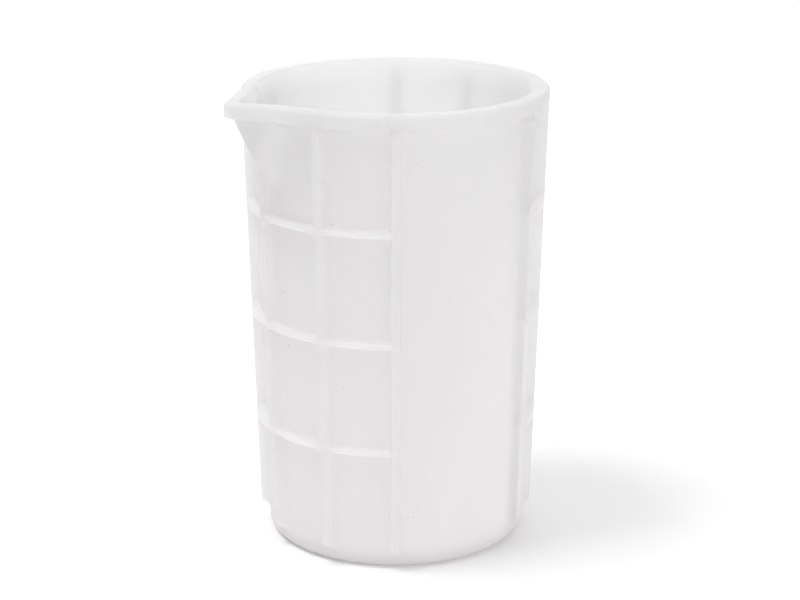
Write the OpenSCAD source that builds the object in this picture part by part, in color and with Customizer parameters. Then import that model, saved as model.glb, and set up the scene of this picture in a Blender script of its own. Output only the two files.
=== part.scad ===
// Resin mixing cup: a soft beaker moulded in one piece from milky silicone.
// The origin is the centre of the foot, on the table. Z is up and the spout points along X.
// Every sub-part here is one zone of the moulding, and the zones meet face to face.

/* [Cup] */
// Height from the table to the rim
cup_h = 110; // [90:1:140]
// Outer radius at the mouth, over the ribs and the rim band
mouth_r = 36.3; // [34:0.1:42]
// Outer radius over the ribs, carried down to the table
foot_r = 33.15; // [28:0.05:33.5]
// Thickness of the plain wall between the ribs
wall = 1.9; // [1.4:0.1:2.6]
// Thickness of the floor
floor_t = 2.6; // [2:0.1:3.5]
// Outside rounding where the wall turns into the floor
foot_round = 3; // [2:0.1:3.5]
// Inside rounding where the wall meets the floor
inner_round = 3; // [1.5:0.1:4]

/* [Rim band] */
// Height of the thick band round the mouth
rim_h = 3.6; // [2.5:0.1:4.2]
// Rounding of the band's upper edges
rim_round = 1; // [0.3:0.1:1.2]
// Size of the slope under the band, where it runs into the wall
rim_slope = 0.9; // [0.3:0.1:1.2]

/* [Ribs] */
// Width of an upright rib
rib_w = 2; // [1.4:0.1:3]
// How far the ribs and the rim band stand out from the wall at the mouth
top_proud = 2.4; // [1.5:0.1:2.8]
// How far the ribs would stand out from the wall at the table
foot_proud = 2; // [1.5:0.1:2.8]
// Angle from one upright rib to the next
rib_step = 30; // [28:1:32]
// Height where an upright rib reaches its full depth
rib_start = 5.5; // [5.2:0.1:9]
// Drop of the slope at a rib's lower end
rib_end_drop = 2; // [1.4:0.1:2.2]
// Height of a level rib
level_h = 1.5; // [1:0.1:3]
// Middle of the lowest level rib, above the table
level_first = 29.9; // [20:0.1:30]
// Distance from one level rib to the next
level_pitch = 26.3; // [15:0.1:26.5]

/* [Pouring spout] */
// Distance that the tip of the lip stands out past the rim
spout_reach = 7.9; // [6.5:0.1:9]
// Rounding of the lip's tip, seen from above
tip_r = 3.2; // [2.5:0.1:4]
// Angle between the spout's axis and each side of the lip
spout_flare = 51; // [48:1:53]
// Distance that the lip overhangs the body of the spout
lip_overhang = 1.9; // [1:0.1:2.2]
// Lean of the spout's keel from upright
keel_lean = 25; // [23:0.2:30]
// Angle round the cup from the keel to each side of the spout, under the band
top_spread = 21.5; // [20:0.5:23]
// The same angle at the foot of the keel
foot_spread = 17; // [14:0.5:20]
// Thickness of the lip at its tip
lip_t = 3.5; // [3:0.1:4]

/* [Hidden] */
$fn = 64;
eps = 0.05;
far = 80;
grid_ribs = 5;
// Directions of the middle ribs of the two grids: under the spout and opposite it
front_a = 0;
rear_a = 180;
// Rounding of the bottom of the pouring channel
channel_r = 1;
// Level outlines along the spout's body, and points on each half of their round tips
spout_levels = 16;
tip_steps = 3;
// Depth that the sides of the spout run into the surface they end on
bury = 0.3;
// Angle left free between the spout's zone and its neighbour ribs
sector_gap = 0.2;
// Fall of a level rib's upper face from its root to its edge
level_fall = 0.2;
// Radius gained for each millimetre of height, over the ribs and over the wall
out_taper = (mouth_r - foot_r) / cup_h;
wall_taper = out_taper - (top_proud - foot_proud) / cup_h;
rim_z = cup_h - rim_h;
lip_x = mouth_r + spout_reach;
keel_x = lip_x - lip_overhang;
channel_x = lip_x - lip_t;
keel_z = rim_z - (keel_x - body_r(rim_z) + bury) / tan(keel_lean);
channel_z = cup_h - (channel_x - cavity_r(cup_h) + bury) / tan(keel_lean);
// The spout's zone is the sector between its two neighbour ribs, from just under the keel up
spout_z = keel_z - bury;
spout_sector = rib_step - asin(rib_w / 2 / body_r(0)) - sector_gap;

silicone = [0.93, 0.92, 0.93];
silicone_rib = [0.96, 0.95, 0.96];
silicone_rim = [0.90, 0.89, 0.92];

// Radii of the three tapered surfaces at a height
function out_r(z) = foot_r + out_taper * z;
function body_r(z) = foot_r - foot_proud + wall_taper * z;
function cavity_r(z) = body_r(z) - wall;

// Angle of one upright rib of a grid
function rib_a(middle_a, i) = middle_a + (i - (grid_ribs - 1) / 2) * rib_step;

// Centre of an arc of radius r that rounds a tapered side, inside it, at height z
function arc_centre(side_r, z, r, taper) = [side_r - r * sqrt(1 + taper * taper), z];

// Point where that arc touches the side
function touch(c, r, taper) = c + r / sqrt(1 + taper * taper) * [1, -taper];

// Section inside the plain outer surface, from the axis to the wall
module body_section() {
    c = arc_centre(body_r(foot_round), foot_round, foot_round, wall_taper);
    translate(c) circle(r = foot_round);
    polygon([
        [0, 0],
        [c[0], 0],
        touch(c, foot_round, wall_taper),
        [body_r(rim_z), rim_z],
        [0, rim_z]
    ]);
}

// Section of the cavity, open past the rim
module cavity_section() {
    z = floor_t + inner_round;
    c = arc_centre(cavity_r(z), z, inner_round, wall_taper);
    translate(c) circle(r = inner_round);
    polygon([
        [0, floor_t],
        [c[0], floor_t],
        touch(c, inner_round, wall_taper),
        [cavity_r(cup_h + eps), cup_h + eps],
        [0, cup_h + eps]
    ]);
}

// Section of the thick band, with the slope that runs into the wall below it
module band_section() {
    z = cup_h - rim_round;
    outer = arc_centre(out_r(z), z, rim_round, out_taper);
    inner = [cavity_r(z) + rim_round * sqrt(1 + wall_taper * wall_taper), z];
    translate(outer) circle(r = rim_round);
    translate(inner) circle(r = rim_round);
    polygon([
        [cavity_r(rim_z), rim_z],
        [body_r(rim_z), rim_z],
        [body_r(rim_z - rim_slope), rim_z - rim_slope],
        [body_r(rim_z) + rim_slope, rim_z],
        [out_r(rim_z), rim_z],
        touch(outer, rim_round, out_taper),
        [outer[0], cup_h],
        [inner[0], cup_h],
        touch(inner, -rim_round, wall_taper)
    ]);
}

// Section of an upright rib, from its sloping lower end to the band
module rib_section() {
    slope = rib_end_drop / foot_proud;
    difference() {
        polygon([
            [0, 0],
            [out_r(rib_start) - rib_start / slope, 0],
            [out_r(rib_start), rib_start],
            [out_r(rim_z), rim_z],
            [0, rim_z]
        ]);
        body_section();
        band_section();
    }
}

// Section of a level rib, whose upper face slopes a little
module level_section(z) {
    bottom = z - level_h / 2;
    top = z + level_h / 2;
    edge = top - level_fall;
    polygon([
        [body_r(bottom), bottom],
        [out_r(bottom), bottom],
        [out_r(edge), edge],
        [body_r(top), top]
    ]);
}

// Outline of a sector that opens along X
module sector_outline(half_a) {
    polygon([
        [0, 0],
        [far * cos(half_a), -far * sin(half_a)],
        [far * cos(half_a), far * sin(half_a)]
    ]);
}

// Upright wedge between two planes through the axis
module sector(half_a, z, h) {
    translate([0, 0, z])
        linear_extrude(h)
            sector_outline(half_a);
}

// Wedge between the side faces of two neighbouring upright ribs
module cell(first_a, z, h) {
    middle_a = first_a + rib_step / 2;
    apex = rib_w / 2 / sin(rib_step / 2);
    translate([apex * cos(middle_a), apex * sin(middle_a), z])
        linear_extrude(h)
            polygon([
                [0, 0],
                [far * cos(first_a), far * sin(first_a)],
                [far * cos(first_a + rib_step), far * sin(first_a + rib_step)]
            ]);
}

// Outline of the lip from above: a round tip of radius r that ends at x, and two straight sides
module lip_outline(x, r, flare) {
    c = x - r;
    side = [c + r * sin(flare), r * cos(flare)];
    reach = side[0] / cos(flare) / 2;
    back = [side[0] - reach * cos(flare), side[1] + reach * sin(flare)];
    translate([c, 0]) circle(r = r);
    polygon([
        [0, 0],
        [back[0], -back[1]],
        [side[0], -side[1]],
        side,
        back
    ]);
}

// Direction square with the line from a corner that touches a circle of radius r round [c, 0]
function side_direction(c, r, corner) =
    acos(-r / norm([c - corner[0], corner[1]])) - atan2(corner[1], c - corner[0]);

// Level outline of the spout's body: the axis, a corner, the round tip and the other corner
function spout_ring(tip, r, corner, z) =
    let (c = tip - r, turn = side_direction(tip - r, r, corner))
    concat(
        [[0, 0, z], [corner[0], -corner[1], z]],
        [for (k = [-tip_steps : tip_steps])
            [c + r * cos(turn * k / tip_steps), r * sin(turn * k / tip_steps), z]],
        [[corner[0], corner[1], z]]
    );

// Body of the spout or of its channel. Its keel leans out to x at top_z, and each of its level
// outlines has straight sides that end inset deep in the cup's wall.
module spout_body(x, r, low_z, top_z, inset) {
    low_r = body_r(low_z) - inset;
    rings = [
        for (i = [0 : spout_levels])
            let (
                share = i / spout_levels,
                z = low_z + (top_z - low_z) * share,
                a = foot_spread + (top_spread - foot_spread) * share
            )
            spout_ring(low_r + (x - low_r) * share, r, (body_r(z) - inset) * [cos(a), sin(a)], z)
    ];
    m = len(rings[0]);
    sides = [
        for (i = [0 : spout_levels - 1], j = [0 : m - 1])
            let (low = i * m + j, next = i * m + (j + 1) % m)
            each [[low, low + m, next + m], [low, next + m, next]]
    ];
    under = [for (j = [0 : m - 1]) j];
    over = [for (j = [m - 1 : -1 : 0]) spout_levels * m + j];
    polyhedron([for (ring = rings) each ring], concat(sides, [under, over]));
}

module cavity() {
    rotate_extrude() cavity_section();
}

module upright_slab(a, z, h) {
    rotate([0, 0, a])
        translate([0, -rib_w / 2, z])
            cube([far, rib_w, h]);
}

// Disc under the cavity, with the lower part of the rounded edge
module base() {
    color(silicone)
        rotate_extrude()
            intersection() {
                body_section();
                square([far, floor_t]);
            }
}

// Plain tapered wall between the floor and the band, open where the spout is
module body_wall() {
    color(silicone)
        difference() {
            rotate_extrude()
                difference() {
                    body_section();
                    square([far, floor_t]);
                    cavity_section();
                }
            sector(spout_sector, spout_z, cup_h);
        }
}

// Thick band round the mouth, open where the spout is
module rim_band() {
    color(silicone_rim)
        difference() {
            rotate_extrude() band_section();
            sector(spout_sector, spout_z, cup_h);
        }
}

// Lip, keel and channel of the spout, with the piece of wall and rib behind them
module pouring_spout() {
    color(silicone_rim)
        difference() {
            intersection() {
                sector(spout_sector, spout_z, cup_h - spout_z);
                union() {
                    rotate_extrude() body_section();
                    rotate_extrude() band_section();
                    translate([0, 0, rim_z])
                        linear_extrude(rim_h)
                            lip_outline(lip_x, tip_r, spout_flare);
                    spout_body(keel_x, tip_r - lip_overhang, keel_z, rim_z, bury);
                    intersection() {
                        rotate_extrude() rib_section();
                        upright_slab(front_a, spout_z, rim_z - spout_z);
                    }
                }
            }
            cavity();
            spout_body(channel_x, channel_r, channel_z, cup_h + eps, wall + bury);
        }
}

// One upright rib, from near the foot to the band
module upright_rib(a) {
    color(silicone_rib)
        intersection() {
            rotate_extrude() rib_section();
            upright_slab(a, 0, rim_z);
        }
}

// The rib under the spout stops where the spout's own zone begins
module short_rib(a) {
    color(silicone_rib)
        intersection() {
            rotate_extrude() rib_section();
            upright_slab(a, 0, spout_z);
        }
}

// One level rib of a grid, as an arc in each cell between the upright ribs
module level_rib(middle_a, i) {
    z = level_first + i * level_pitch;
    color(silicone_rib)
        for (k = [0 : grid_ribs - 2])
            intersection() {
                rotate_extrude() level_section(z);
                cell(rib_a(middle_a, k), z - level_h, 2 * level_h);
            }
}

module front_rib_1() { upright_rib(rib_a(front_a, 0)); }
module front_rib_2() { upright_rib(rib_a(front_a, 1)); }
module front_rib_3() { short_rib(rib_a(front_a, 2)); }
module front_rib_4() { upright_rib(rib_a(front_a, 3)); }
module front_rib_5() { upright_rib(rib_a(front_a, 4)); }
module rear_rib_1() { upright_rib(rib_a(rear_a, 0)); }
module rear_rib_2() { upright_rib(rib_a(rear_a, 1)); }
module rear_rib_3() { upright_rib(rib_a(rear_a, 2)); }
module rear_rib_4() { upright_rib(rib_a(rear_a, 3)); }
module rear_rib_5() { upright_rib(rib_a(rear_a, 4)); }
module front_level_rib_low() { level_rib(front_a, 0); }
module front_level_rib_mid() { level_rib(front_a, 1); }
module front_level_rib_high() { level_rib(front_a, 2); }
module rear_level_rib_low() { level_rib(rear_a, 0); }
module rear_level_rib_mid() { level_rib(rear_a, 1); }
module rear_level_rib_high() { level_rib(rear_a, 2); }

base();
body_wall();
rim_band();
pouring_spout();
front_rib_1();
front_rib_2();
front_rib_3();
front_rib_4();
front_rib_5();
rear_rib_1();
rear_rib_2();
rear_rib_3();
rear_rib_4();
rear_rib_5();
front_level_rib_low();
front_level_rib_mid();
front_level_rib_high();
rear_level_rib_low();
rear_level_rib_mid();
rear_level_rib_high();
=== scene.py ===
import math

import bmesh
import bpy
import numpy as np
from bpy.props import FloatProperty, FloatVectorProperty, IntProperty, PointerProperty
from mathutils import Matrix, Vector


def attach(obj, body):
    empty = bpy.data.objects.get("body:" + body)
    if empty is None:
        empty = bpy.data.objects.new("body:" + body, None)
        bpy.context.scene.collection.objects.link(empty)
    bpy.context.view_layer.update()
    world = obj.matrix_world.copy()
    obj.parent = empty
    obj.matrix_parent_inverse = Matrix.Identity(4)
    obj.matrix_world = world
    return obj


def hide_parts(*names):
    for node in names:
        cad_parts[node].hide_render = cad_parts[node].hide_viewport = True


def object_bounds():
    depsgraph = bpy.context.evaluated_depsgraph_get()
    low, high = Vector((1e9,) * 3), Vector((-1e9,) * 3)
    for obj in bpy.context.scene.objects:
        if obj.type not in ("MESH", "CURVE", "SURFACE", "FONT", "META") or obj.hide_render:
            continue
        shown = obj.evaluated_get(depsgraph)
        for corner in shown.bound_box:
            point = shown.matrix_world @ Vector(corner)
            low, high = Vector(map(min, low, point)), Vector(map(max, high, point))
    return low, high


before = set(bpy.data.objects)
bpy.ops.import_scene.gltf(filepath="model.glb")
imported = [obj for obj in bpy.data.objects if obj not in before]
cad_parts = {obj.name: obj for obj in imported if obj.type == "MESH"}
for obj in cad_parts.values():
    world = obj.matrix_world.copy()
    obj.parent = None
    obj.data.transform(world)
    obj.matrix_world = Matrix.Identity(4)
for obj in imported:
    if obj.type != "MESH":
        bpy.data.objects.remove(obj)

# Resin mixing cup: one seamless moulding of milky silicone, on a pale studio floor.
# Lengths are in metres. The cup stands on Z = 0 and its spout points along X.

bl_info = {
    "name": "Resin Mixing Cup",
    "version": (1, 0, 0),
    "blender": (4, 5, 0),
    "location": "3D View > Sidebar > Mixing Cup",
    "description": "Moulds a silicone mixing cup with ribs, a rim band and a pouring spout",
    "category": "Add Mesh",
}

CAD_LOW, CAD_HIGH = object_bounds()
MM = 0.001
# Where the rim band steps out, from the band's lower edge, and where the painted shade that darkens
# it begins
BAND_STEP = (-0.15 * MM, 0.25 * MM)
RIM_SHADE_FADE = (-1.9 * MM, 0.2 * MM)
# Where the spout's painted shade begins outside, and in its channel where the inside's painted
# light gives way to it, from the tip along X
SPOUT_SHADE_FADE = (-9.7 * MM, -6.2 * MM)
CHANNEL_FADE = (-13.2 * MM, -3.2 * MM)
# Height over which the soft blend of the channel grows from the channel's lower end
BLEND_RISE = 4 * MM
# Spacing of the mesh: round the cup, up the wall, and where the spout and its channel are
COLUMN_STEP = math.radians(3)
ROW_STEP = 2.6 * MM
SPOUT_ROW_STEP = 0.9 * MM
SPOUT_HALF_ANGLE = math.radians(27)
SPOUT_COLUMNS = 61
QUARTER_ROWS = 9
# Columns at each side of an upright rib, from its edge outwards, and rows at each edge of a level
# rib, in halves of the softness
SIDE_OFFSETS = np.append(np.linspace(-1.15, 1.15, 7), 2.2)
EDGE_OFFSETS = np.linspace(-1.2, 1.2, 7)
# Shares of the radius where the underside has its rings, outwards, and the floor, inwards
FOOT_RINGS = (0.25, 0.5, 0.75, 0.92, 1)
FLOOR_RINGS = (0.9, 0.7, 0.45, 0.2)
# Rows between the channel's lower end and the floor's rounding
DEEP_ROWS = 24
# Largest angle from its own normal at which a side of the spout's body or lip is worked out
BEAK_LIMIT = 1.4
LIP_LIMIT = 1.2
# Angle past the corners of the spout's body, and angle from its axis, where those sides stop
BEAK_MARGIN = 0.05
LIP_END = 1
# Patterns of the silicone, in cycles or cells per metre
CLOUD_SCALE = 55
SPECK_SCALE = 150
SKIN_SCALE = 900
# Distances from a cell's point, in cells, where a speck begins and where it has its full colour
SPECK_FADE = (0.034, 0.02)
SPECK_COLOUR = (0.6, 0.58, 0.57, 1)
# Share and height of the skin's bump, and how far the clouds move the roughness
SKIN_STRENGTH = 0.12
SKIN_HEIGHT = 0.1 * MM
ROUGHNESS_SWING = (-0.05, 0.07)
SILICONE_IOR = 1.41
# How far red, green and blue light spread, as shares of the scatter depth
SCATTER_SHARES = (1, 0.95, 0.92)
# Floor pattern, in cycles per metre, and the share of its colour in the darker parts
MOTTLE_SCALE = 3
MOTTLE_SHARE = 0.985
# Broad soft lights of the dome: setting, bearing from the camera's to the viewer's right, height
DOME_LIGHTS = (
    ("overhead", 0, 90),
    ("from_left", -75, 45),
    ("from_right", 35, 15),
    ("from_behind", 180, 15),
)
# Lamp that casts the cup's shadow: bearing and height angle in degrees, distance and width
KEY_PLACE = (-76, 68)
KEY_DISTANCE = 2.5
KEY_SIZE = 0.8
FLOOR_HALF = 6.0


class CupSizes(bpy.types.PropertyGroup):
    """Sizes of the plain tapered cup"""

    height: FloatProperty(
        name="Height", description="From the table to the rim",
        default=CAD_HIGH.z, min=0.05, max=0.3, unit="LENGTH")
    mouth_radius: FloatProperty(
        name="Mouth radius", description="Outer radius at the rim, over the band",
        default=36.29 * MM, min=0.02, max=0.1, unit="LENGTH")
    foot_radius: FloatProperty(
        name="Foot radius", description="Outer radius over the ribs, carried down to the table",
        default=33.15 * MM, min=0.02, max=0.1, unit="LENGTH")
    wall: FloatProperty(
        name="Wall", description="Thickness of the plain wall",
        default=1.9 * MM, min=0.001, max=0.005, unit="LENGTH")
    floor: FloatProperty(
        name="Floor", description="Thickness of the floor",
        default=2.6 * MM, min=0.001, max=0.008, unit="LENGTH")
    foot_round: FloatProperty(
        name="Foot rounding", description="Outside rounding between wall and underside",
        default=3 * MM, min=0.001, max=0.006, unit="LENGTH")
    inner_round: FloatProperty(
        name="Inner rounding", description="Inside rounding between wall and floor",
        default=3 * MM, min=0.001, max=0.006, unit="LENGTH")
    rim_height: FloatProperty(
        name="Rim height", description="Height of the thick band round the mouth",
        default=3.6 * MM, min=0.001, max=0.008, unit="LENGTH")
    rim_round: FloatProperty(
        name="Rim rounding", description="Rounding of the band's upper edges",
        default=1 * MM, min=0.0002, max=0.002, unit="LENGTH")
    rim_slope: FloatProperty(
        name="Rim slope", description="Size of the slope under the band",
        default=0.9 * MM, min=0.0002, max=0.002, unit="LENGTH")


class RibSizes(bpy.types.PropertyGroup):
    """Sizes of the raised grids on two sides of the cup"""

    width: FloatProperty(
        name="Width", description="Width of an upright rib",
        default=2 * MM, min=0.001, max=0.005, unit="LENGTH")
    proud_top: FloatProperty(
        name="Depth at the rim", description="How far the ribs stand out at the mouth",
        default=2.4 * MM, min=0.0005, max=0.004, unit="LENGTH")
    proud_foot: FloatProperty(
        name="Depth at the foot", description="How far the ribs would stand out at the table",
        default=2 * MM, min=0.0005, max=0.004, unit="LENGTH")
    step: FloatProperty(
        name="Step", description="Angle from one upright rib to the next",
        default=math.radians(30), min=0.3, max=0.8, subtype="ANGLE")
    grid_half: FloatProperty(
        name="Half grid", description="Angle from a grid's middle rib to its last rib",
        default=math.radians(60), min=0.3, max=1.5, subtype="ANGLE")
    start: FloatProperty(
        name="Start", description="Height where an upright rib reaches its full depth",
        default=5.5 * MM, min=0.004, max=0.012, unit="LENGTH")
    end_drop: FloatProperty(
        name="End drop", description="Drop of the slope at a rib's lower end",
        default=2 * MM, min=0.0005, max=0.003, unit="LENGTH")
    level_height: FloatProperty(
        name="Level height", description="Height of a level rib",
        default=1.5 * MM, min=0.0005, max=0.004, unit="LENGTH")
    level_first: FloatProperty(
        name="First level", description="Middle of the lowest level rib, above the table",
        default=29.9 * MM, min=0.01, max=0.05, unit="LENGTH")
    level_pitch: FloatProperty(
        name="Level pitch", description="Distance from one level rib to the next",
        default=26.3 * MM, min=0.01, max=0.03, unit="LENGTH")
    softness: FloatProperty(
        name="Softness", description="Width of the rounding at the edges and roots of the ribs",
        default=0.5 * MM, min=0.0001, max=0.001, unit="LENGTH")


class SpoutSizes(bpy.types.PropertyGroup):
    """Sizes of the pouring spout"""

    reach: FloatProperty(
        name="Reach", description="Distance from the cup's axis to the tip of the lip",
        default=CAD_HIGH.x, min=0.03, max=0.08, unit="LENGTH")
    tip_round: FloatProperty(
        name="Tip rounding", description="Rounding of the lip's tip, seen from above",
        default=3.2 * MM, min=0.0005, max=0.006, unit="LENGTH")
    flare: FloatProperty(
        name="Flare", description="Angle between the spout's axis and each side of the lip",
        default=math.radians(51), min=0.6, max=1.1, subtype="ANGLE")
    overhang: FloatProperty(
        name="Overhang", description="Distance that the lip overhangs the spout's body",
        default=1.9 * MM, min=0.0005, max=0.003, unit="LENGTH")
    keel_lean: FloatProperty(
        name="Keel lean", description="Lean of the spout's keel from upright",
        default=math.radians(25), min=0.3, max=0.8, subtype="ANGLE")
    lip: FloatProperty(
        name="Lip", description="Thickness of the lip at its tip",
        default=3.5 * MM, min=0.001, max=0.005, unit="LENGTH")
    top_spread: FloatProperty(
        name="Top spread",
        description="Angle from the keel to each side of the spout's body, at its top",
        default=math.radians(21.5), min=0.2, max=0.45, subtype="ANGLE")
    foot_spread: FloatProperty(
        name="Foot spread", description="The same angle at the foot of the keel",
        default=math.radians(17), min=0.1, max=0.4, subtype="ANGLE")
    channel_round: FloatProperty(
        name="Channel rounding", description="Rounding of the bottom of the channel",
        default=1 * MM, min=0.0003, max=0.004, unit="LENGTH")
    fillet: FloatProperty(
        name="Fillet", description="Width of the blend between the spout and the cup",
        default=0.8 * MM, min=0.0001, max=0.003, unit="LENGTH")
    channel_blend: FloatProperty(
        name="Channel blend",
        description="Extra width of the blend between the channel and the cavity",
        default=2.6 * MM, min=0.0001, max=0.005, unit="LENGTH")


class SiliconeLook(bpy.types.PropertyGroup):
    """Finish of the milky silicone"""

    pale: FloatVectorProperty(
        name="Pale", description="Colour of the clearer silicone",
        default=(0.862, 0.839, 0.841), min=0, max=1, size=3, subtype="COLOR")
    cloudy: FloatVectorProperty(
        name="Cloudy", description="Colour of the cloudier silicone",
        default=(0.842, 0.819, 0.821), min=0, max=1, size=3, subtype="COLOR")
    # Painted shade: the rim band and the spout are darkened by this share of their colour
    rim_spout_shade: FloatVectorProperty(
        name="Thick parts", description="Share of its colour that the thick rim and spout keep",
        default=(0.7, 0.715, 0.735), min=0, max=1, size=3, subtype="COLOR")
    # Painted light: the inner surface gets this paler colour so the inside of the cup looks lighter
    inside: FloatVectorProperty(
        name="Inside", description="Colour of the cleaner inner surface",
        default=(0.94, 0.933, 0.934), min=0, max=1, size=3, subtype="COLOR")
    depth: FloatProperty(
        name="Scatter depth", description="How far light spreads inside the silicone",
        default=30 * MM, min=0, max=0.1, unit="LENGTH")
    roughness: FloatProperty(
        name="Roughness", description="Roughness of the satin surface",
        default=0.5, min=0, max=1, subtype="FACTOR")


class StudioLook(bpy.types.PropertyGroup):
    """Floor, lights and camera"""

    floor_colour: FloatVectorProperty(
        name="Floor", description="Colour of the floor",
        default=(0.98, 0.98, 0.98), min=0, max=1, size=3, subtype="COLOR")
    floor_glow: FloatProperty(
        name="Floor glow", description="Light that the floor gives off itself",
        default=0.065, min=0, max=1)
    even: FloatProperty(
        name="Even", description="Strength of the light that comes alike from all round",
        default=0.0, min=0, max=4)
    overhead: FloatProperty(
        name="Overhead", description="Strength of the soft light from above",
        default=2.0, min=0, max=10)
    from_left: FloatProperty(
        name="From the left", description="Strength of the soft light from the upper left",
        default=0.3, min=0, max=10)
    from_right: FloatProperty(
        name="From the right", description="Strength of the low soft light from the front right",
        default=1.38, min=0, max=10)
    from_behind: FloatProperty(
        name="From behind", description="Strength of the low soft light from behind",
        default=1.65, min=0, max=10)
    focus: FloatProperty(
        name="Focus", description="How tightly each soft light keeps to its direction",
        default=6.0, min=1, max=40)
    key: FloatProperty(
        name="Key", description="Power of the lamp on the left that casts the shadow",
        default=18.5, min=0, max=200, unit="POWER")
    bounces: IntProperty(
        name="Bounces", description="How often light is followed through the silicone",
        default=24, min=0, max=64)
    lens: FloatProperty(
        name="Lens", description="Focal length on a 36 mm sensor",
        default=94.0, min=20, max=300, unit="CAMERA")
    turn: FloatProperty(
        name="Turn", description="Direction from the cup to the camera, from the spout's axis",
        default=math.radians(60), min=0, max=math.tau, subtype="ANGLE")
    distance: FloatProperty(
        name="Distance", description="Level distance from the cup's axis to the camera",
        default=483.8 * MM, min=0.1, max=3, unit="LENGTH")
    rise: FloatProperty(
        name="Camera height", description="Height of the camera above the table",
        default=206.4 * MM, min=0, max=2, unit="LENGTH")
    aside: FloatProperty(
        name="Aside", description="Distance of the camera to the right of the cup's axis",
        default=1.1 * MM, min=-0.1, max=0.1, unit="LENGTH")
    tilt: FloatProperty(
        name="Tilt", description="Angle that the camera looks down",
        default=math.radians(17.17), min=0, max=1.5, subtype="ANGLE")


def smooth_step(x, low, high):
    """3t^2 - 2t^3 of the share t of the way from low to high, so both ends are level."""
    t = np.clip((x - low) / (high - low), 0, 1)
    return t * t * (3 - 2 * t)


def soft_max(a, b, blend):
    """The larger of a and b, plus a parabola where they are within blend of each other."""
    near = np.clip(1 - np.abs(a - b) / blend, 0, 1)
    return np.maximum(a, b) + near * near * blend / 4


def spread(start, stop, step, bends, offsets):
    """Values from start to stop, step apart, and closer ones: each bend plus each offset.

    An even value gives way to a close one that is nearer than 0.45 of a step.
    """
    even = np.linspace(start, stop, max(2, round((stop - start) / step) + 1))
    close = (np.asarray(bends)[:, None] + np.asarray(offsets)[None, :]).ravel()
    close = close[(close > start) & (close < stop)]
    gap = np.abs(even[:, None] - close[None, :]).min(axis=1)
    keep = even[(gap > step * 0.45) | (even == start) | (even == stop)]
    return np.unique(np.round(np.concatenate([keep, close]), 9))


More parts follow.
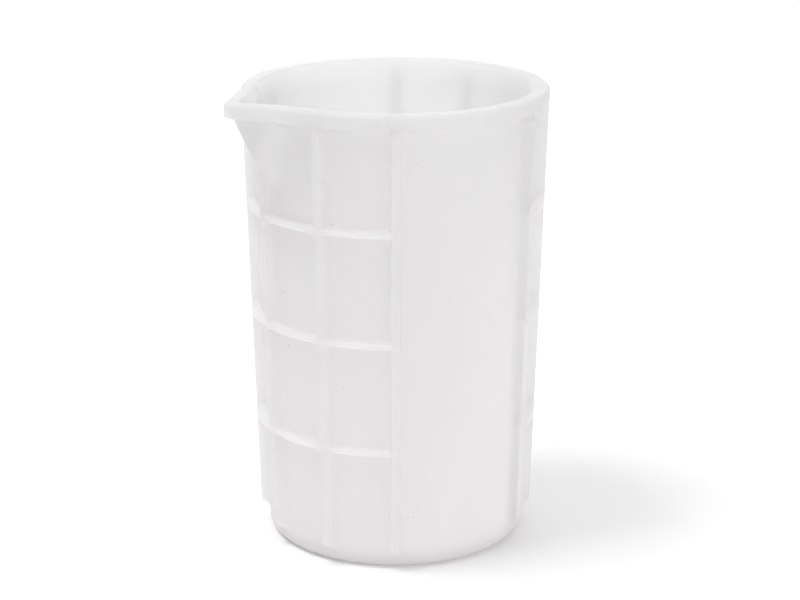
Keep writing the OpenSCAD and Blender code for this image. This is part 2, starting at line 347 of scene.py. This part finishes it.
class CupForm:
    """The cup's surfaces as radii, each a function of the angle about the axis and the height."""

    def __init__(self, cup, ribs, spout):
        self.cup = cup
        self.ribs = ribs
        self.spout = spout
        self.out_taper = (cup.mouth_radius - cup.foot_radius) / cup.height
        self.wall_taper = self.out_taper - (ribs.proud_top - ribs.proud_foot) / cup.height
        self.rim_z = cup.height - cup.rim_height
        self.keel_x = spout.reach - spout.overhang
        self.channel_x = spout.reach - spout.lip
        lean = math.tan(spout.keel_lean)
        self.keel_z = self.rim_z - (self.keel_x - self.body(self.rim_z)) / lean
        self.channel_z = cup.height - (self.channel_x - self.cavity(cup.height)) / lean

    def proud(self, z):
        """Depth of the ribs, which grows evenly with height."""
        return self.ribs.proud_foot + (self.out_taper - self.wall_taper) * z

    def body(self, z):
        """Cone of the plain wall's outside."""
        return self.cup.foot_radius - self.ribs.proud_foot + self.wall_taper * z

    def cavity(self, z):
        """Cone of the wall's inside, one wall thickness in."""
        return self.body(z) - self.cup.wall

    def upright(self, angle, z):
        """1 on the upright ribs and 0 between them, by the sideways distance to the nearest rib."""
        ribs = self.ribs
        nearest = np.round(angle / ribs.step) * ribs.step
        sideways = np.abs(np.sin(angle - nearest)) * self.body(z)
        in_grid = np.abs(np.round(np.sin(nearest), 6)) <= round(math.sin(ribs.grid_half), 6)
        half, soft = ribs.width / 2, ribs.softness / 2
        side = 1 - smooth_step(sideways, half - soft, half + soft)
        end = smooth_step(z, ribs.start - ribs.end_drop, ribs.start)
        return side * end * in_grid

    def level(self, angle, z):
        """1 on the level ribs, which have a sharper lower edge, within the two grids.

        The lower edge rises over 1.2 of the softness's half, and the upper one falls over 2.
        """
        ribs = self.ribs
        index = np.clip(np.round((z - ribs.level_first) / ribs.level_pitch), 0, 2)
        up = z - (ribs.level_first + index * ribs.level_pitch)
        half = ribs.level_height / 2
        soft = ribs.softness / 2
        lower = smooth_step(up, -half - soft * 0.6, -half + soft * 0.6)
        upper = 1 - smooth_step(up, half - soft * 1.4, half + soft * 0.6)
        in_grid = np.abs(np.sin(angle)) <= math.sin(ribs.grid_half)
        return lower * upper * in_grid

    def band(self, z):
        """1 on the rim band, over a short slope that runs into the wall."""
        cup = self.cup
        slope = np.clip((z - self.rim_z + cup.rim_slope) / cup.rim_slope, 0, 1)
        share = cup.rim_slope / self.ribs.proud_top
        return np.maximum(slope * share, smooth_step(z - self.rim_z, *BAND_STEP))

    def beak(self, angle, z, tip, tip_round, low_z, top_z, surface):
        """Level section of the spout's body or channel: two straight sides and a round tip.

        The tip runs evenly from the surface at low_z out to tip at top_z. Each side starts at a
        corner on the surface, as far from the keel as the spread at that height, and touches the
        tip's circle, whose centre is c. With f the distance and b the direction from the corner to
        c, a line square with the direction n = acos(-rounding / f) - b is that tangent. Its radius
        is (c cos(n) + rounding) / cos(angle - n), and the circle's own, nearer the axis than n's
        touching point, is c cos(angle) + sqrt(rounding^2 - c^2 sin(angle)^2).
        """
        spout = self.spout
        folded = np.abs(np.arctan2(np.sin(angle), np.cos(angle)))
        share = np.clip((z - low_z) / (top_z - low_z), 0, 1)
        spread_angle = spout.foot_spread + (spout.top_spread - spout.foot_spread) * share
        low_radius = surface(low_z)
        centre = low_radius + (tip - low_radius) * share - tip_round
        corner_x = surface(z) * np.cos(spread_angle)
        corner_y = surface(z) * np.sin(spread_angle)
        across = np.hypot(centre - corner_x, corner_y)
        bearing = np.arctan2(corner_y, centre - corner_x)
        side = np.arccos(np.clip(-tip_round / across, -1, 1)) - bearing
        from_side = np.minimum(np.abs(folded - side), BEAK_LIMIT)
        straight = (centre * np.cos(side) + tip_round) / np.cos(from_side)
        room = np.maximum(tip_round ** 2 - (centre * np.sin(folded)) ** 2, 0)
        circle = centre * np.cos(folded) + np.sqrt(room)
        touching = np.arctan2(tip_round * np.sin(side), centre + tip_round * np.cos(side))
        radius = np.where(folded < touching, circle, straight)
        return np.where(folded < spread_angle + BEAK_MARGIN, radius, 0)

    def lip(self, angle):
        """Level section of the lip: a round tip, and straight sides at a fixed angle to the axis.

        The sides are square with the direction n = quarter turn - flare, so their radius is
        (c cos(n) + rounding) / cos(angle - n), where c is the centre of the tip.
        """
        spout = self.spout
        folded = np.abs(np.arctan2(np.sin(angle), np.cos(angle)))
        centre = spout.reach - spout.tip_round
        side = math.pi / 2 - spout.flare
        from_side = np.minimum(folded - side, LIP_LIMIT)
        straight = (centre * math.cos(side) + spout.tip_round) / np.cos(from_side)
        room = np.maximum(spout.tip_round ** 2 - (centre * np.sin(folded)) ** 2, 0)
        circle = centre * np.cos(folded) + np.sqrt(room)
        touching = math.atan2(
            spout.tip_round * math.sin(side), centre + spout.tip_round * math.cos(side))
        return np.where(folded < touching, circle, np.where(folded < LIP_END, straight, 0))

    def outer(self, angle, z):
        """Wall, ribs and band joined as 1 - (1 - a)(1 - b)(1 - c), then the keel and the lip."""
        bare = (1 - self.upright(angle, z)) * (1 - self.level(angle, z)) * (1 - self.band(z))
        shell = self.body(z) + self.proud(z) * (1 - bare)
        spout = self.spout
        keel = self.beak(angle, z, self.keel_x, spout.tip_round - spout.overhang,
                         self.keel_z, self.rim_z, self.body)
        on_lip = smooth_step(z - self.rim_z, *BAND_STEP)
        beak = keel + (self.lip(angle) - keel) * on_lip
        return np.where(z > self.keel_z, soft_max(shell, beak, spout.fillet), shell)

    def inner(self, angle, z):
        """Cone of the cavity, opened by the channel, with a blend that grows from its low end."""
        spout = self.spout
        channel = self.beak(angle, z, self.channel_x, spout.channel_round,
                            self.channel_z, self.cup.height, self.cavity)
        cavity = self.cavity(z)
        low = self.channel_z
        blend = spout.fillet + spout.channel_blend * smooth_step(z, low, low + BLEND_RISE)
        return np.where(z > low, soft_max(cavity, channel, blend), cavity)


def cup_columns(form):
    """Angles of the grid's columns: close together at the sides of ribs and over the spout."""
    ribs = form.ribs
    radius = form.body(form.cup.height / 2)
    half, soft = ribs.width / 2, ribs.softness / 2
    edge = np.append([0, half / 2], half + soft * SIDE_OFFSETS)
    offsets = np.concatenate([-edge, edge]) / radius
    grid = np.arange(-2, 3) * ribs.step
    rib_angles = np.concatenate([grid, grid + math.pi])
    around = spread(-math.pi / 2, math.pi * 1.5, COLUMN_STEP, rib_angles, offsets)
    over_spout = np.linspace(-1, 1, SPOUT_COLUMNS) * SPOUT_HALF_ANGLE
    gap = np.abs(over_spout[:, None] - around[None, :]).min(axis=1)
    clear = over_spout[gap > COLUMN_STEP / 10]
    around = np.unique(np.round(np.concatenate([around, clear]), 9))
    return around[:-1]


def cup_rows(form, angle):
    """Radius, height and share of painted inside light of each grid row, from the underside's
    middle to the floor's.

    The painted inside light is 0 outside and 1 inside, and grows as 1 - sin over the rim's inner
    edge.
    Quarter circles round the foot, both rim edges and the floor's edge: each is its centre plus
    the rounding times the cosine and sine of an angle that runs over a quarter turn.
    """
    cup, ribs = form.cup, form.ribs
    ones = np.ones_like(angle)
    soft = ribs.softness / 2
    quarter = np.linspace(0, math.pi / 2, QUARTER_ROWS)
    rows = []

    def add(radius, z):
        rows.append((radius * ones, z * ones))

    lean = math.atan(form.wall_taper)
    foot_centre = form.body(cup.foot_round) - cup.foot_round / math.cos(lean)
    for share in FOOT_RINGS:
        add(foot_centre * share, 0.0)
    for turn in np.linspace(0, math.pi / 2 - lean, 10)[1:]:
        add(foot_centre + cup.foot_round * math.sin(turn), cup.foot_round * (1 - math.cos(turn)))

    levels = ribs.level_first + ribs.level_pitch * np.arange(3)
    half = ribs.level_height / 2
    level_edges = np.concatenate([levels - half, levels + half - soft * 0.4])
    bends = np.concatenate([level_edges, [form.rim_z + 0.05 * MM]])
    close = soft * EDGE_OFFSETS
    side_top = cup.height - cup.rim_round
    wall_z = spread(cup.foot_round, side_top, ROW_STEP, bends, close)
    end_z = np.linspace(ribs.start - ribs.end_drop, ribs.start + 0.5 * MM, 9)
    spout_z = np.arange(form.keel_z, form.rim_z - 0.6 * MM, SPOUT_ROW_STEP)
    wall_z = np.unique(np.round(np.concatenate([wall_z, end_z, spout_z]), 6))
    for z in wall_z[1:]:
        rows.append((form.outer(angle, z * ones), z * ones))

    rim_out = form.outer(angle, side_top * ones)
    rim_in = form.inner(angle, side_top * ones)
    outer_edge = rim_out - cup.rim_round
    inner_edge = rim_in + cup.rim_round
    for turn in quarter[1:]:
        add(outer_edge + cup.rim_round * math.cos(turn), side_top + cup.rim_round * math.sin(turn))
    for share in (0.33, 0.67):
        add(outer_edge + (inner_edge - outer_edge) * share, cup.height)
    outside_rows = len(rows)
    for turn in quarter[::-1]:
        add(inner_edge - cup.rim_round * math.cos(turn), side_top + cup.rim_round * math.sin(turn))

    fillet_z = cup.floor + cup.inner_round
    inner_z = np.concatenate([np.arange(side_top, form.channel_z, -SPOUT_ROW_STEP)[1:],
                              np.linspace(form.channel_z, fillet_z, DEEP_ROWS)])
    for z in inner_z:
        rows.append((form.inner(angle, z * ones), z * ones))
    inner_centre = form.cavity(fillet_z) - cup.inner_round
    for turn in quarter[1:]:
        add(inner_centre + cup.inner_round * math.cos(turn),
            fillet_z - cup.inner_round * math.sin(turn))
    for share in FLOOR_RINGS:
        add(inner_centre * share, cup.floor)
    painted_inside_light = np.ones(len(rows))
    painted_inside_light[:outside_rows] = 0
    painted_inside_light[outside_rows:outside_rows + len(quarter)] = 1 - np.sin(quarter[::-1])
    return np.array([r for r, _ in rows]), np.array([z for _, z in rows]), painted_inside_light


def lathe_faces(row_count, column_count):
    """Quads between neighbouring rows, wrapped round, and a triangle fan at each pole."""
    row = np.arange(row_count - 1)[:, None] * column_count
    here = np.arange(column_count)[None, :]
    there = (here + 1) % column_count
    above = row + column_count
    quads = np.stack([row + here, row + there, above + there, above + here], -1)
    first_pole = row_count * column_count
    last = (row_count - 1) * column_count
    ring = np.arange(column_count)
    after = (ring + 1) % column_count
    fans = [np.stack([np.full(column_count, first_pole), after, ring], -1),
            np.stack([np.full(column_count, first_pole + 1), last + ring, last + after], -1)]
    return quads.reshape(-1, 4).tolist() + np.concatenate(fans).tolist()


def mesh_object(name, points, faces):
    """A smooth mesh object at the origin, with its place in its points."""
    mesh = bpy.data.meshes.new(name)
    mesh.from_pydata(points.tolist(), [], faces)
    mesh.polygons.foreach_set("use_smooth", np.ones(len(mesh.polygons), dtype=bool))
    mesh.validate()
    mesh.update()
    piece = bpy.data.objects.new(name, mesh)
    bpy.context.scene.collection.objects.link(piece)
    return piece


def clear_nodes(name):
    """A material with a bare node tree, and its Principled and Output nodes."""
    material = bpy.data.materials.new(name)
    material.use_nodes = True
    nodes = material.node_tree.nodes
    nodes.clear()
    shader = nodes.new("ShaderNodeBsdfPrincipled")
    output = nodes.new("ShaderNodeOutputMaterial")
    material.node_tree.links.new(shader.outputs["BSDF"], output.inputs["Surface"])
    return material, nodes, material.node_tree.links, shader


def silicone_material(look, form):
    """Milky silicone: soft clouds, painted shade on the rim band and spout, a paler inside as
    painted light, tiny specks, satin skin.
    """
    material, nodes, links, shader = clear_nodes("milky_silicone")
    place = nodes.new("ShaderNodeTexCoord")

    clouds = nodes.new("ShaderNodeTexNoise")
    clouds.inputs["Scale"].default_value = CLOUD_SCALE
    clouds.inputs["Detail"].default_value = 3
    links.new(place.outputs["Object"], clouds.inputs["Vector"])
    tint = nodes.new("ShaderNodeMix")
    tint.data_type = "RGBA"
    tint.inputs["A"].default_value = (*look.pale, 1)
    tint.inputs["B"].default_value = (*look.cloudy, 1)
    links.new(clouds.outputs["Fac"], tint.inputs["Factor"])

    axes = nodes.new("ShaderNodeSeparateXYZ")
    links.new(place.outputs["Object"], axes.inputs["Vector"])
    # Painted shade: masks for the rim band and the spout's tip, whose colour is multiplied darker
    # below
    rim = nodes.new("ShaderNodeMapRange")
    rim.inputs["From Min"].default_value = form.rim_z + RIM_SHADE_FADE[0]
    rim.inputs["From Max"].default_value = form.rim_z + RIM_SHADE_FADE[1]
    links.new(axes.outputs["Z"], rim.inputs["Value"])
    beak = nodes.new("ShaderNodeMapRange")
    beak.inputs["From Min"].default_value = form.spout.reach + SPOUT_SHADE_FADE[0]
    beak.inputs["From Max"].default_value = form.spout.reach + SPOUT_SHADE_FADE[1]
    links.new(axes.outputs["X"], beak.inputs["Value"])
    thick = nodes.new("ShaderNodeMath")
    thick.operation = "MAXIMUM"
    links.new(rim.outputs["Result"], thick.inputs[0])
    links.new(beak.outputs["Result"], thick.inputs[1])
    tone = nodes.new("ShaderNodeMix")
    tone.data_type = "RGBA"
    tone.blend_type = "MULTIPLY"
    tone.inputs["B"].default_value = (*look.rim_spout_shade, 1)
    links.new(thick.outputs["Value"], tone.inputs["Factor"])
    links.new(tint.outputs["Result"], tone.inputs["A"])

    # Painted light: the inner surface is mixed towards the paler inside colour, so the inside looks
    # lighter
    within = nodes.new("ShaderNodeAttribute")
    within.attribute_name = "painted_inside_light"
    painted_inside_light = nodes.new("ShaderNodeMix")
    painted_inside_light.data_type = "RGBA"
    painted_inside_light.inputs["B"].default_value = (*look.inside, 1)
    links.new(within.outputs["Fac"], painted_inside_light.inputs["Factor"])
    links.new(tone.outputs["Result"], painted_inside_light.inputs["A"])

    specks = nodes.new("ShaderNodeTexVoronoi")
    specks.inputs["Scale"].default_value = SPECK_SCALE
    links.new(place.outputs["Object"], specks.inputs["Vector"])
    dot = nodes.new("ShaderNodeMapRange")
    dot.inputs["From Min"].default_value = SPECK_FADE[0]
    dot.inputs["From Max"].default_value = SPECK_FADE[1]
    links.new(specks.outputs["Distance"], dot.inputs["Value"])
    fleck = nodes.new("ShaderNodeMix")
    fleck.data_type = "RGBA"
    fleck.inputs["B"].default_value = SPECK_COLOUR
    links.new(dot.outputs["Result"], fleck.inputs["Factor"])
    links.new(painted_inside_light.outputs["Result"], fleck.inputs["A"])
    links.new(fleck.outputs["Result"], shader.inputs["Base Color"])

    skin = nodes.new("ShaderNodeTexNoise")
    skin.inputs["Scale"].default_value = SKIN_SCALE
    skin.inputs["Detail"].default_value = 2
    links.new(place.outputs["Object"], skin.inputs["Vector"])
    bump = nodes.new("ShaderNodeBump")
    bump.inputs["Strength"].default_value = SKIN_STRENGTH
    bump.inputs["Distance"].default_value = SKIN_HEIGHT
    links.new(skin.outputs["Fac"], bump.inputs["Height"])
    links.new(bump.outputs["Normal"], shader.inputs["Normal"])

    satin = nodes.new("ShaderNodeMapRange")
    satin.inputs["To Min"].default_value = look.roughness + ROUGHNESS_SWING[0]
    satin.inputs["To Max"].default_value = look.roughness + ROUGHNESS_SWING[1]
    links.new(clouds.outputs["Fac"], satin.inputs["Value"])
    links.new(satin.outputs["Result"], shader.inputs["Roughness"])

    shader.inputs["IOR"].default_value = SILICONE_IOR
    shader.inputs["Specular IOR Level"].default_value = 0.35
    shader.inputs["Subsurface Weight"].default_value = 1
    shader.inputs["Subsurface Radius"].default_value = SCATTER_SHARES
    shader.inputs["Subsurface Scale"].default_value = look.depth
    return material


def floor_material(look):
    """Matte pale floor with a faint mottle."""
    material, nodes, links, shader = clear_nodes("studio_floor")
    place = nodes.new("ShaderNodeTexCoord")
    mottle = nodes.new("ShaderNodeTexNoise")
    mottle.inputs["Scale"].default_value = MOTTLE_SCALE
    links.new(place.outputs["Object"], mottle.inputs["Vector"])
    tint = nodes.new("ShaderNodeMix")
    tint.data_type = "RGBA"
    tint.inputs["A"].default_value = (*look.floor_colour, 1)
    tint.inputs["B"].default_value = (*(c * MOTTLE_SHARE for c in look.floor_colour), 1)
    links.new(mottle.outputs["Fac"], tint.inputs["Factor"])
    links.new(tint.outputs["Result"], shader.inputs["Base Color"])
    shader.inputs["Roughness"].default_value = 0.9
    shader.inputs["Specular IOR Level"].default_value = 0.1
    shader.inputs["Emission Color"].default_value = (1, 1, 1, 1)
    shader.inputs["Emission Strength"].default_value = look.floor_glow
    return material


def dome_direction(turn, bearing, height):
    """Unit vector at a bearing to the viewer's right of the camera's, and a height, in degrees."""
    around = turn + math.radians(bearing)
    up = math.radians(height)
    return Vector((math.cos(around) * math.cos(up), math.sin(around) * math.cos(up), math.sin(up)))


def studio_dome(look):
    """World light: an even part, plus for each soft light its strength times a lobe.

    The lobe is the cosine to the light's direction, where above 0, to the power of focus.
    """
    world = bpy.data.worlds.new("studio_dome")
    world.use_nodes = True
    nodes = world.node_tree.nodes
    links = world.node_tree.links
    place = nodes.new("ShaderNodeTexCoord")
    total = nodes.new("ShaderNodeValue")
    total.outputs["Value"].default_value = look.even
    for setting, bearing, height in DOME_LIGHTS:
        cosine = nodes.new("ShaderNodeVectorMath")
        cosine.operation = "DOT_PRODUCT"
        cosine.inputs[1].default_value = dome_direction(look.turn, bearing, height)
        links.new(place.outputs["Generated"], cosine.inputs[0])
        facing = nodes.new("ShaderNodeMath")
        facing.operation = "MAXIMUM"
        facing.inputs[1].default_value = 0
        links.new(cosine.outputs["Value"], facing.inputs[0])
        lobe = nodes.new("ShaderNodeMath")
        lobe.operation = "POWER"
        lobe.inputs[1].default_value = look.focus
        links.new(facing.outputs["Value"], lobe.inputs[0])
        added = nodes.new("ShaderNodeMath")
        added.operation = "MULTIPLY_ADD"
        added.inputs[1].default_value = getattr(look, setting)
        links.new(lobe.outputs["Value"], added.inputs[0])
        links.new(total.outputs["Value"], added.inputs[2])
        total = added
    background = nodes["Background"]
    background.inputs["Color"].default_value = (1, 1, 1, 1)
    links.new(total.outputs["Value"], background.inputs["Strength"])
    return world


class MIXCUP_OT_mould_cup(bpy.types.Operator):
    """Mould the whole cup as one seamless piece that stands for every zone of the solid model"""

    bl_idname = "mixcup.mould_cup"
    bl_label = "Mould Cup"
    bl_options = {"REGISTER", "UNDO"}

    def execute(self, context):
        scene = context.scene
        form = CupForm(scene.mixcup_sizes, scene.mixcup_ribs, scene.mixcup_spout)
        angle = cup_columns(form)
        radius, z, painted_inside_light = cup_rows(form, angle)
        along = radius * np.cos(angle)
        # The inside's painted light fades out along the channel towards the spout's tip
        painted_inside_light = painted_inside_light[:, None] * (1 - smooth_step(along - form.spout.reach, *CHANNEL_FADE))
        points = np.stack([along, radius * np.sin(angle), z], -1).reshape(-1, 3)
        poles = [[0, 0, 0], [0, 0, scene.mixcup_sizes.floor]]
        faces = lathe_faces(len(radius), len(angle))
        cup = mesh_object("silicone_cup", np.concatenate([points, poles]), faces)
        work = bmesh.new()
        work.from_mesh(cup.data)
        bmesh.ops.recalc_face_normals(work, faces=work.faces)
        work.to_mesh(cup.data)
        work.free()
        shares = cup.data.attributes.new("painted_inside_light", "FLOAT", "POINT")
        shares.data.foreach_set("value", np.append(painted_inside_light.ravel(), [0, 1]))
        cup.data.materials.append(silicone_material(scene.mixcup_silicone, form))
        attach(cup, "root")
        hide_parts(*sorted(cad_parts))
        return {"FINISHED"}


class MIXCUP_OT_set_stage(bpy.types.Operator):
    """Lay the pale floor, set up the lights and aim the camera"""

    bl_idname = "mixcup.set_stage"
    bl_label = "Set Stage"
    bl_options = {"REGISTER", "UNDO"}

    def execute(self, context):
        scene = context.scene
        look = scene.mixcup_studio
        signs = np.array([[-1, -1, 0], [1, -1, 0], [1, 1, 0], [-1, 1, 0]])
        corners = signs * FLOOR_HALF
        floor = mesh_object("studio_floor", corners, [[0, 1, 2, 3]])
        floor.data.materials.append(floor_material(look))

        scene.world = studio_dome(look)

        turn = look.turn
        back = Vector((math.cos(turn), math.sin(turn), 0))
        right = Vector((-math.sin(turn), math.cos(turn), 0))
        lamp_place = KEY_DISTANCE * dome_direction(turn, *KEY_PLACE)
        add_lamp("key_lamp", lamp_place, KEY_SIZE, look.key)

        camera = bpy.data.cameras.new("camera")
        camera.lens = look.lens
        camera.sensor_width = 36
        camera.clip_start = 0.01
        eye = bpy.data.objects.new("camera", camera)
        scene.collection.objects.link(eye)
        place = back * look.distance + right * look.aside + Vector((0, 0, look.rise))
        forward = -back * math.cos(look.tilt) - Vector((0, 0, math.sin(look.tilt)))
        eye.matrix_world = aimed(place, forward)
        scene.camera = eye
        scene.view_settings.view_transform = "Standard"
        scene.cycles.diffuse_bounces = look.bounces
        scene.cycles.max_bounces = look.bounces
        return {"FINISHED"}


def aimed(place, direction):
    """Matrix that stands at a place and looks along a direction, with its top upwards."""
    turned = direction.to_track_quat("-Z", "Y").to_matrix().to_4x4()
    return Matrix.Translation(place) @ turned


def add_lamp(name, place, size, power):
    """A square soft lamp that faces the middle of the cup."""
    lamp = bpy.data.lights.new(name, "AREA")
    lamp.size = size
    lamp.energy = power
    stand = bpy.data.objects.new(name, lamp)
    bpy.context.scene.collection.objects.link(stand)
    stand.matrix_world = aimed(place, Vector((0, 0, CAD_HIGH.z / 2)) - place)


class MIXCUP_PT_sidebar(bpy.types.Panel):
    """Sidebar panel with the cup's sizes, its finish and the two build steps"""

    bl_idname = "MIXCUP_PT_sidebar"
    bl_label = "Resin Mixing Cup"
    bl_space_type = "VIEW_3D"
    bl_region_type = "UI"
    bl_category = "Mixing Cup"

    def draw(self, context):
        layout = self.layout
        for attribute, _ in GROUPS:
            group = getattr(context.scene, attribute)
            box = layout.box()
            for name in group.bl_rna.properties.keys():
                if name not in ("rna_type", "name"):
                    box.prop(group, name)
        for operator in OPERATORS:
            layout.operator(operator.bl_idname)


GROUPS = (
    ("mixcup_sizes", CupSizes),
    ("mixcup_ribs", RibSizes),
    ("mixcup_spout", SpoutSizes),
    ("mixcup_silicone", SiliconeLook),
    ("mixcup_studio", StudioLook),
)
OPERATORS = (MIXCUP_OT_mould_cup, MIXCUP_OT_set_stage)


def register():
    for attribute, group in GROUPS:
        bpy.utils.register_class(group)
        setattr(bpy.types.Scene, attribute, PointerProperty(type=group))
    for operator in OPERATORS:
        bpy.utils.register_class(operator)
    bpy.utils.register_class(MIXCUP_PT_sidebar)


def unregister():
    bpy.utils.unregister_class(MIXCUP_PT_sidebar)
    for operator in reversed(OPERATORS):
        bpy.utils.unregister_class(operator)
    for attribute, group in reversed(GROUPS):
        delattr(bpy.types.Scene, attribute)
        bpy.utils.unregister_class(group)


def main():
    """Register the add-on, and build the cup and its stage."""
    register()
    bpy.ops.mixcup.mould_cup()
    bpy.ops.mixcup.set_stage()


if __name__ == "__main__":
    main()
